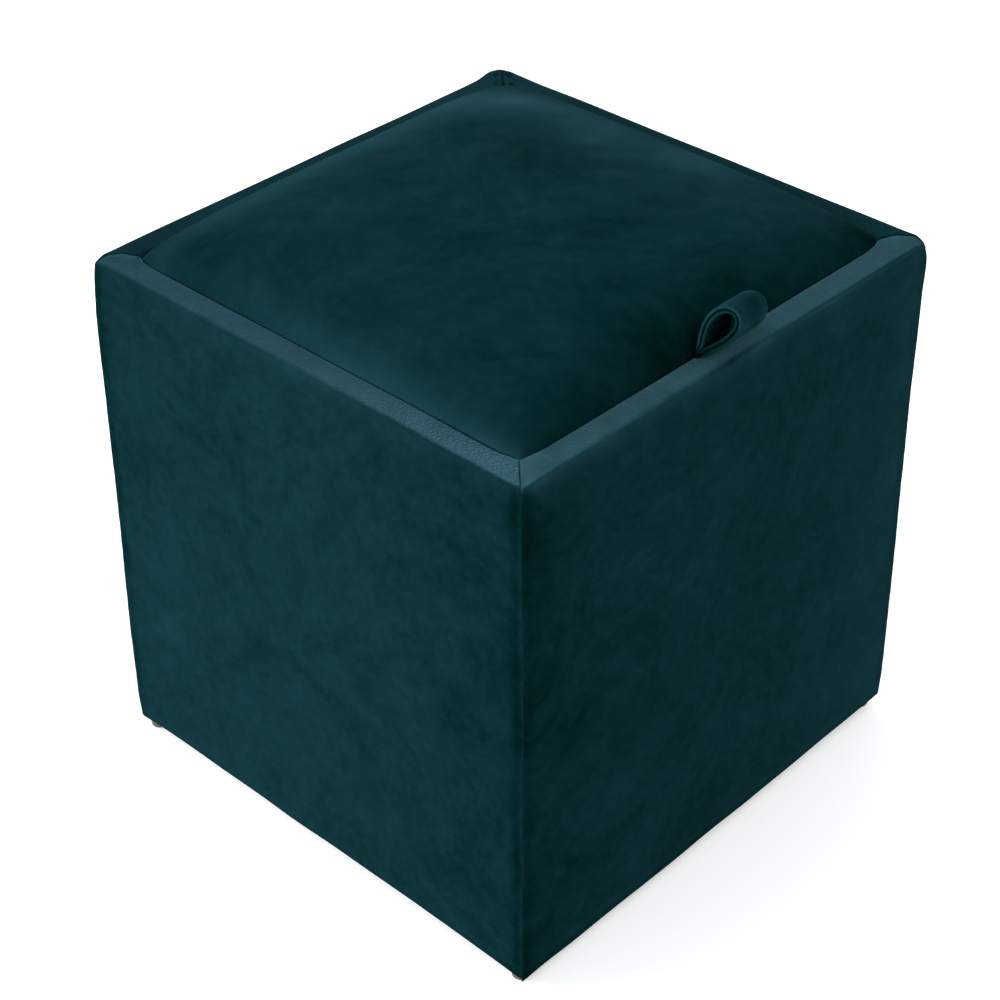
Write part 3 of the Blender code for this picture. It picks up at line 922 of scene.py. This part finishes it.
def build_stitches(path, thick, facing, along, waver, material):
    """Small stitches of thread in the two dipped lines of the strap's outer face."""
    stitches, faces = [], []
    stitched = along[thick > STITCHED_FROM]
    shares = np.linspace(0, 1, STITCH_RINGS)[:, None]
    ends = (2 * shares - 1) ** 4
    radius = THREAD_RADIUS * np.sqrt(np.clip(1 - ends, 0.04, 1))
    turns = 2 * math.pi * np.arange(STITCH_SIDES) / STITCH_SIDES
    count = STITCH_RINGS * STITCH_SIDES
    shell = grid_faces(STITCH_RINGS, STITCH_SIDES, wrap_columns=True)
    shell += [tuple(range(STITCH_SIDES))[::-1], tuple(range(count - STITCH_SIDES, count))]
    for side in (1, -1):
        at = stitched[0]
        while at + STITCH_LENGTH < stitched[-1]:
            out, up, look_out, look_up, thickness, slide = (
                np.interp(at + STITCH_LENGTH * shares, along, values)
                for values in (*path.T, *facing.T, thick, waver)
            )
            lift = thickness / 2 * STITCH_DIP + STITCH_RISE - STITCH_PULL * ends
            proud = lift + np.sin(turns) * radius
            across = side * (STRAP_HALF - STITCH_INSET) + slide + np.cos(turns) * radius
            faces += [tuple(count * len(stitches) + i for i in face) for face in shell]
            stitches.append(strap_point(across, out + look_out * proud, up + look_up * proud))
            at += STITCH_PITCH
    vertices = np.concatenate(stitches).reshape(-1, 3)
    mesh = mesh_of("strap_stitches", vertices, faces, smooth_below=60)
    return add_piece("strap_stitches", mesh, material)


# ---- Materials ----
def connect(tree, made, inputs):
    """Sets each named input, or links it where the value is another node's output."""
    for name, value in inputs.items():
        if isinstance(value, bpy.types.NodeSocket):
            tree.links.new(value, made.inputs[name])
        else:
            made.inputs[name].default_value = value


def node(tree, kind, inputs=None, **settings):
    made = tree.nodes.new(kind)
    for name, value in settings.items():
        setattr(made, name, value)
    connect(tree, made, inputs or {})
    return made


def noise(tree, place, scale, detail, roughness, distortion=0.0):
    inputs = {"Vector": place, "Scale": scale, "Detail": detail}
    inputs |= {"Roughness": roughness, "Distortion": distortion}
    return node(tree, "ShaderNodeTexNoise", inputs).outputs["Fac"]


def maths(tree, operation, first, second, third=0.0):
    inputs = {0: first, 1: second, 2: third}
    return node(tree, "ShaderNodeMath", inputs, operation=operation).outputs[0]


def vector_maths(tree, operation, inputs):
    return node(tree, "ShaderNodeVectorMath", inputs, operation=operation).outputs[0]


def bumps(tree, height, strength, distance):
    inputs = {"Height": height, "Strength": strength, "Distance": distance}
    return node(tree, "ShaderNodeBump", inputs).outputs["Normal"]


def object_place(tree):
    return node(tree, "ShaderNodeTexCoord").outputs["Object"]


def blend_colours(tree, share, first, second):
    """Between two colours, and beyond them where the share is below 0 or above 1."""
    inputs = {"Factor": share, 6: first, 7: second}
    settings = {"data_type": "RGBA", "clamp_factor": False, "clamp_result": True}
    return node(tree, "ShaderNodeMix", inputs, **settings).outputs[2]


def new_material(name):
    made = bpy.data.materials.new(name)
    made.use_nodes = True
    tree = made.node_tree
    return made, tree, tree.nodes["Principled BSDF"]


VELVET_DARK = (0.0015, 0.0178, 0.0202, 1)
VELVET_LIGHT = (0.0041, 0.0265, 0.0317, 1)
SHEEN_TINT = (0.28, 0.73, 0.93, 1)
DARKEST, LIGHTEST = -1.2, 6.0  # how far a blend may go beyond the two colours
PATCH_SCALE = 9
MOTTLE_SCALE = 115
RAGGED_SCALE = 45
PILE_SCALE = 620
PILE_HEIGHT = 0.7 * MM
RAGGED = 1 * MM  # how far the edge of a brushed zone strays
FADE = 3.2 * MM  # half the breadth of that edge
LEAST_LEAN, PATCH_LEAN = 0.6, 0.8  # the nap leans further in the light patches


def velvet(name, resting_nap, sheen=0.35, patch_gain=3.9, mottle_gain=2.4):
    """Short-pile velvet with brushed patches and streaks.

    Outside the brushed zones its pile leans as resting_nap says, and inside them as the "nap"
    vectors say. The per-point wear values lighten worn edges and hold painted light and shade:
    painted sheen and highlights, and painted shade in creases, dips and under things. The two
    gains say how strongly the broad patches and the fine mottling mix the two colours.
    """
    made, tree, shader = new_material(name)

    def attribute(title, output):
        return node(tree, "ShaderNodeAttribute", attribute_name=title).outputs[output]

    place = object_place(tree)
    patches = noise(tree, attribute("cloth", "Vector"), PATCH_SCALE, 4, 0.9, 0.3)
    mottle = noise(tree, place, MOTTLE_SCALE, 5, 0.95)
    evened = 0.5 - (patch_gain + mottle_gain) / 2  # keeps the average halfway between the colours
    share = maths(tree, "MULTIPLY_ADD", patches, patch_gain, evened)
    share = maths(tree, "MULTIPLY_ADD", mottle, mottle_gain, share)
    stray = noise(tree, place, RAGGED_SCALE, 3, 0.6)
    strayed = maths(tree, "MULTIPLY_ADD", stray, RAGGED * 2, -RAGGED)
    zone = maths(tree, "ADD", attribute("brushed", "Fac"), strayed)
    edge = {"Value": zone, "From Min": -FADE, "From Max": FADE}
    brushed = node(tree, "ShaderNodeMapRange", edge, interpolation_type="SMOOTHSTEP").outputs["Result"]
    # The wear values, with their painted sheen, highlights and shade, shift the blend between the two
    # colours
    worn_and_lit = maths(tree, "ADD", share, attribute("wear_and_light", "Fac"))
    held = node(tree, "ShaderNodeClamp", {"Value": worn_and_lit, "Min": DARKEST, "Max": LIGHTEST}).outputs[0]

    tuft = maths(tree, "MULTIPLY", noise(tree, place, PILE_SCALE, 2, 0.6), attribute("tufts", "Fac"))
    naps = {"Factor": brushed, 4: resting_nap, 5: attribute("nap", "Vector")}
    nap = node(tree, "ShaderNodeMix", naps, data_type="VECTOR").outputs[1]
    lively = maths(tree, "MULTIPLY_ADD", patches, PATCH_LEAN, LEAST_LEAN)
    leaned = vector_maths(tree, "SCALE", {0: nap, "Scale": lively})
    added = vector_maths(tree, "ADD", {0: bumps(tree, tuft, 0.6, PILE_HEIGHT), 1: leaned})
    finish = {
        "Base Color": blend_colours(tree, held, VELVET_DARK, VELVET_LIGHT),
        "Normal": vector_maths(tree, "NORMALIZE", {0: added}),
        "Roughness": 0.9,
        "Specular IOR Level": 0.01,
        "Sheen Weight": sheen,
        "Sheen Roughness": 0.3,
        "Sheen Tint": SHEEN_TINT,
    }
    connect(tree, shader, finish)
    return made


def board():
    """Pressed wood board: pale brown chips, with a faint run of grain and a matt face."""
    made, tree, shader = new_material("pressed_board")
    run = {"Vector": object_place(tree), "Scale": (1, 0.25, 1)}
    stretched = node(tree, "ShaderNodeMapping", run).outputs[0]
    cells = {"Vector": stretched, "Scale": 260, "Randomness": 1.0}
    chips = node(tree, "ShaderNodeTexVoronoi", cells).outputs["Distance"]
    grain = noise(tree, stretched, 60, 6, 0.7)
    tone = maths(tree, "MULTIPLY_ADD", chips, 0.6, maths(tree, "MULTIPLY", grain, 0.7))
    finish = {
        "Base Color": blend_colours(tree, tone, (0.235, 0.135, 0.066, 1), (0.47, 0.315, 0.175, 1)),
        "Roughness": maths(tree, "MULTIPLY_ADD", grain, 0.25, 0.62),
        "Normal": bumps(tree, tone, 0.35, 0.5 * MM),
        "Specular IOR Level": 0.3,
    }
    connect(tree, shader, finish)
    return made


def nylon():
    """Brown moulded nylon of the nail-on glides, scuffed where it meets the floor."""
    made, tree, shader = new_material("glide_nylon")
    place = object_place(tree)
    mottle = noise(tree, place, 220, 4, 0.6)
    height = node(tree, "ShaderNodeSeparateXYZ", {0: place}).outputs["Z"]
    foot = {"Value": height, "From Min": 3 * MM, "From Max": 0.0, "To Max": 0.6}
    scuffed = node(tree, "ShaderNodeMapRange", foot).outputs["Result"]
    tone = maths(tree, "MULTIPLY_ADD", mottle, 0.6, scuffed)
    finish = {
        "Base Color": blend_colours(tree, tone, (0.052, 0.034, 0.026, 1), (0.175, 0.125, 0.098, 1)),
        "Roughness": maths(tree, "MULTIPLY_ADD", tone, 0.35, 0.35),
        "Normal": bumps(tree, noise(tree, place, 1500, 3, 0.5), 0.25, 0.2 * MM),
    }
    connect(tree, shader, finish)
    return made


def thread():
    """Twisted sewing thread, a shade lighter than the velvet."""
    made, tree, shader = new_material("thread")
    turns = {"Vector": object_place(tree), "Scale": 900, "Distortion": 1.5}
    twist = node(tree, "ShaderNodeTexWave", turns, bands_direction="DIAGONAL").outputs["Fac"]
    finish = {
        "Base Color": blend_colours(tree, twist, (0.002, 0.018, 0.022, 1), (0.004, 0.030, 0.036, 1)),
        "Normal": bumps(tree, twist, 0.5, 0.1 * MM),
        "Roughness": 0.6,
        "Specular IOR Level": 0.1,
    }
    connect(tree, shader, finish)
    return made


def finish_nodes(names, material):
    for name in names:
        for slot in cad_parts[name].material_slots:
            slot.material = material


# ---- Camera, light and floor ----
SENSOR_WIDTH = 36
LENS = 84.0
# Where the camera stands and how its picture lies, fitted to the cube's corners in the photograph
CAMERA_PLACE = (-1.0663, -0.9908, 1.2611)
PICTURE_RIGHT = (0.68524, -0.72831, -0.00343)
PICTURE_DOWN = (-0.42600, -0.39697, -0.81299)
WORLD_LIGHT = 0.95
FLOOR_GLOW = 0.40
FLOOR_REACH = 6
FLOOR_CORNERS = ((-1, -1), (1, -1), (1, 1), (-1, 1))
KEY_PLACE, KEY_TARGET = Vector((-4.1, 4.4, 2.5)), Vector((0, 0, 0.3))
KEY_SIZE, KEY_POWER, KEY_COLOUR = 2.6, 330, (0.99, 1.0, 1.12)


def build_camera():
    data = bpy.data.cameras.new("camera")
    data.sensor_width = SENSOR_WIDTH
    data.lens = LENS
    data.clip_start = 0.05
    data.clip_end = 50
    camera = bpy.data.objects.new("camera", data)
    right, down = Vector(PICTURE_RIGHT), Vector(PICTURE_DOWN)
    forward = right.cross(down)
    turn = Matrix((right, -down, -forward)).transposed().to_4x4()
    camera.matrix_world = Matrix.Translation(CAMERA_PLACE) @ turn
    bpy.context.scene.collection.objects.link(camera)
    bpy.context.scene.camera = camera


def build_key_light():
    data = bpy.data.lights.new("key", "AREA")
    data.shape = "DISK"
    data.size = KEY_SIZE
    data.energy = KEY_POWER
    data.color = KEY_COLOUR
    light = bpy.data.objects.new("key", data)
    light.location = KEY_PLACE
    light.rotation_euler = (KEY_TARGET - KEY_PLACE).to_track_quat("-Z", "Y").to_euler()
    bpy.context.scene.collection.objects.link(light)


def build_studio():
    """A pale floor under an even white sky."""
    scene = bpy.context.scene
    scene.view_settings.view_transform = "Standard"
    world = bpy.data.worlds.new("studio")
    world.use_nodes = True
    sky = {"Color": (1, 1, 1, 1), "Strength": WORLD_LIGHT}
    connect(world.node_tree, world.node_tree.nodes["Background"], sky)
    scene.world = world
    corners = [(FLOOR_REACH * x, FLOOR_REACH * y, 0) for x, y in FLOOR_CORNERS]
    mesh = bpy.data.meshes.new("floor")
    mesh.from_pydata(corners, [], [(0, 1, 2, 3)])
    made, tree, shader = new_material("floor")
    finish = {
        "Base Color": (0.92, 0.92, 0.92, 1),
        "Roughness": 0.8,
        "Emission Color": (1, 1, 1, 1),
        "Emission Strength": FLOOR_GLOW,
    }
    connect(tree, shader, finish)
    add_piece("floor", mesh, made)


side_velvet = velvet("velvet_sides", (0.0, 0.0, 0.5))
lid_velvet = velvet("velvet_lid", (0.0, 0.0, 0.0), sheen=0.25, patch_gain=3.6, mottle_gain=1.4)
strap_velvet = velvet("velvet_strap", (0.0, 0.0, 0.0), sheen=0.25)
WALLS = {
    "cover_front": Wall(
        "wall_front",
        (0, -1),
        streak_angle=50,
        seed=0.4,
        nap_lean=(0.63, 0.83, 1.0, 0.82, 0.77),
        tilt=(0.0, -0.08, 0.0),
        mitre_lean=(0.6, 0.0),
        sag=(5.0, 3.7, 2.5),
        bulge=2.0 * MM,
        brush=(2.4, 2.9, 2.3, 1.3, 1.2),
        softness=(1.0, 1.7, 1.8, 1.2, 1.0),
        edge=(2.0, 1.5, 1.3, 2.2, 2.2),
        face_sheen=(2.4, 2.2, 2.2, 1.0, 0.0),
        tone=(-0.15, -0.15, -0.15),
        valley=0.55,
    ),
    "cover_right": Wall("wall_right", (1, 0), -40, 1.1, (0.16, 0.14, 0.14), sag=(1, 1, 1), rise=1.3 * MM),
    "cover_back": Wall("wall_back", (0, 1), 35, 1.9, (0.14, 0.13, 0.13), sag=(1, 1, 1), rise=0.3 * MM),
    "cover_left": Wall(
        "wall_left",
        (-1, 0),
        streak_angle=-35,
        seed=2.6,
        nap_lean=(0.44, 0.56, 0.90),
        tilt=(-0.06, 0.12, 0.28),
        sag=(0.9, 1.3, 2.0),
        brush=(2.9, 3.1, 4.3),
        softness=(1.2, 1.3, 1.2),
        edge=(1.3, 1.3, 1.3),
        face_sheen=(0.0, 0.7, 0.3),
        tone=(-0.05, 0.0, -0.05),
    ),
}
for name, wall in WALLS.items():
    build_wall(name, wall, side_velvet)
build_lid(lid_velvet)
build_strap(strap_velvet, thread())

BOARDS = ("base_panel", "ledge_front", "ledge_right", "ledge_back", "ledge_left")
GLIDES = ("glide_front_left", "glide_front_right", "glide_back_left", "glide_back_right")
finish_nodes(BOARDS, board())
finish_nodes(GLIDES, nylon())
build_camera()
build_studio()
build_key_light()
